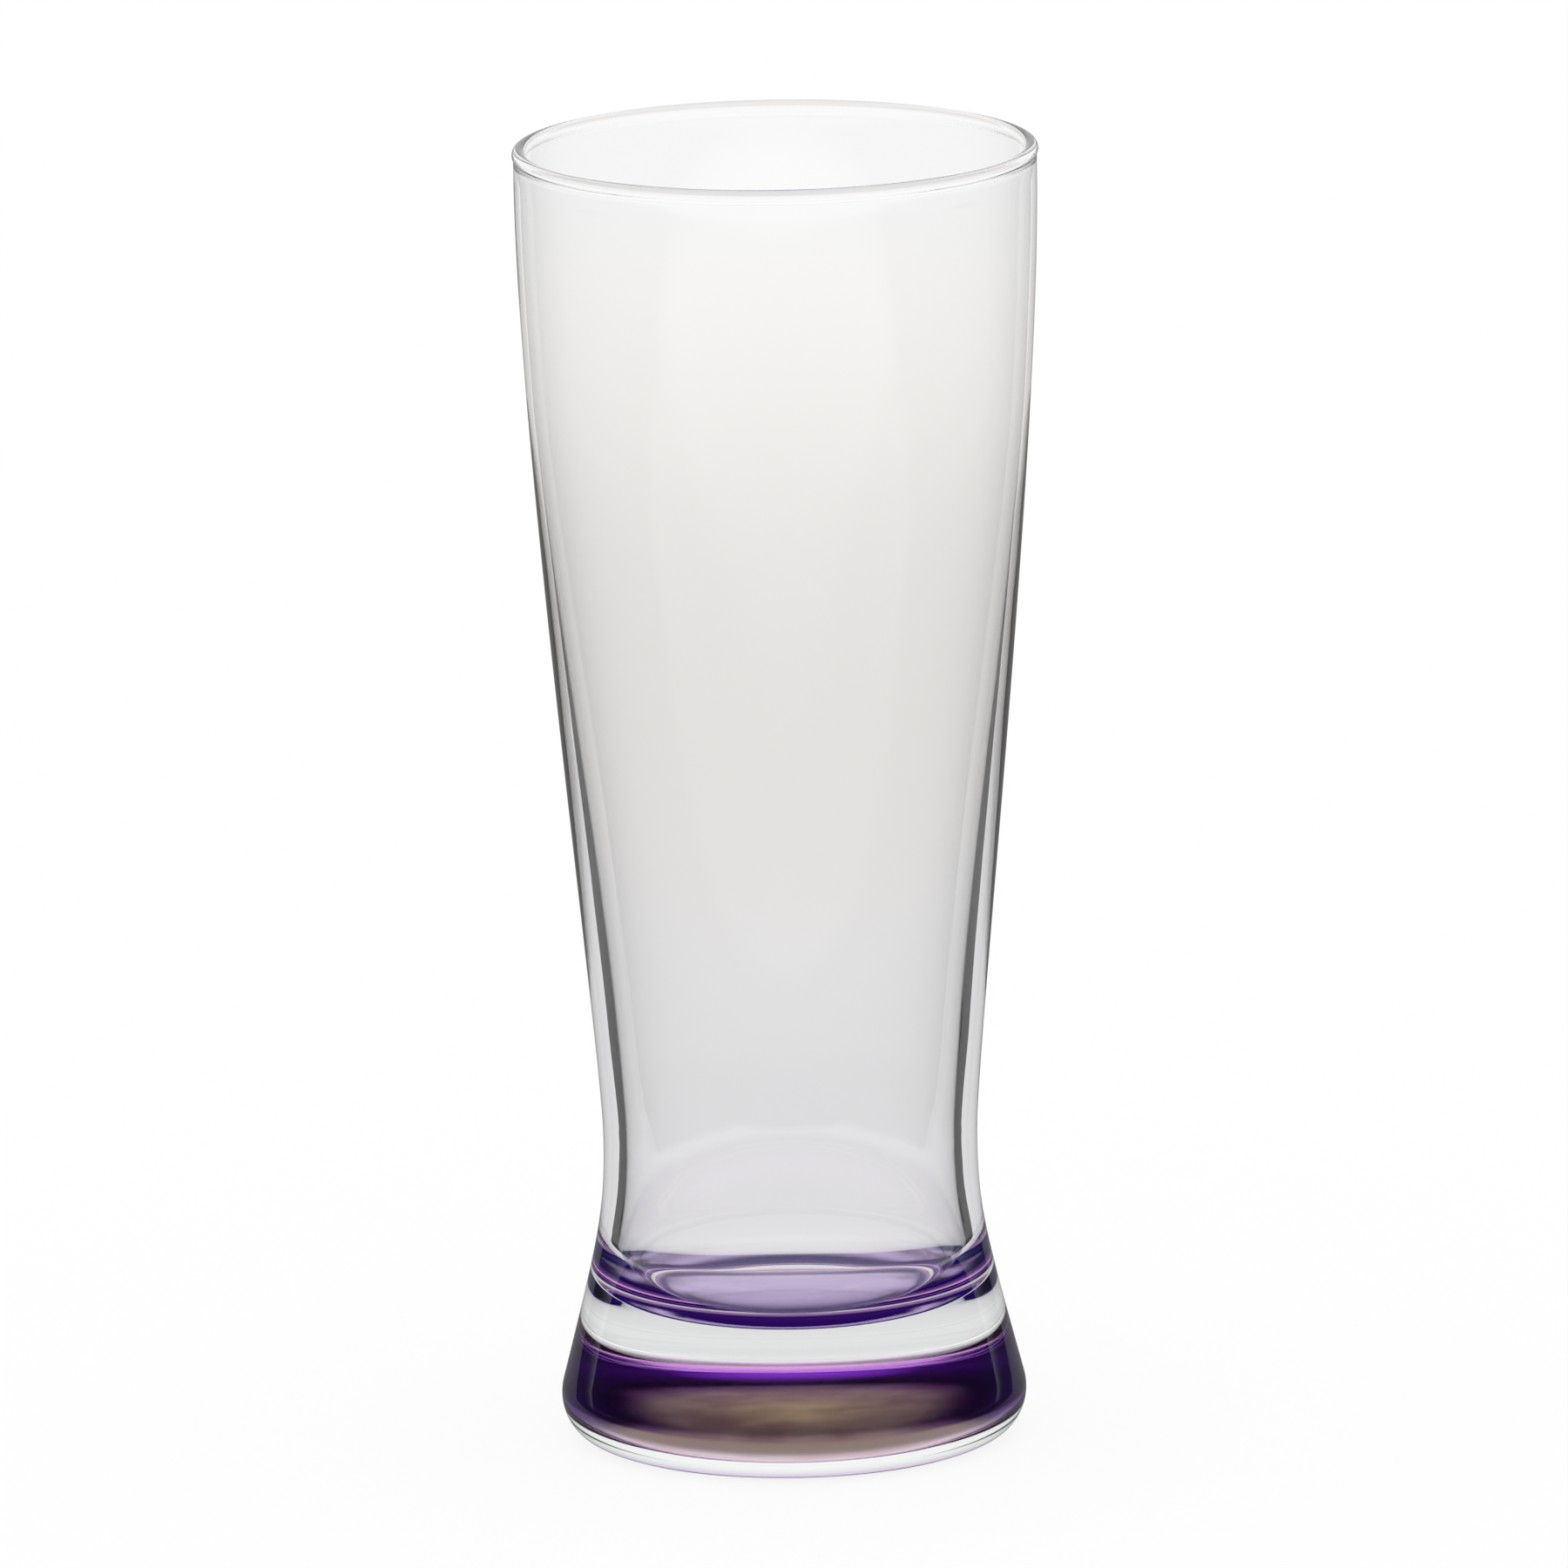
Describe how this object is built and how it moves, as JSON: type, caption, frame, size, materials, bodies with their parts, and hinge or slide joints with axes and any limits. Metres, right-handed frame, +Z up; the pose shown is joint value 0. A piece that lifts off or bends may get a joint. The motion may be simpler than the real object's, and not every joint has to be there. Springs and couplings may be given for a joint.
{
  "type": "pilsner glass",
  "caption": "Tall clear drinking glass with a beaded lip, tapering wall, narrow waist, thick base and flared foot with a purple lacquered underside.",
  "frame": {"origin": "centre of the foot, on the surface that the glass stands on", "axes": "+Z up along the glass's axis of symmetry, from the foot to the mouth"},
  "size_m": [0.0748, 0.0748, 0.188],
  "materials": {
    "clear_glass": "fire-polished clear soda-lime glass",
    "purple_lacquer": "transparent dyed lacquer sprayed on the underside, glossy through the glass"
  },
  "bodies": {
    "root": {"glass_body": "clear_glass", "base_colour_coat": "purple_lacquer"}
  },
  "joints": []
}
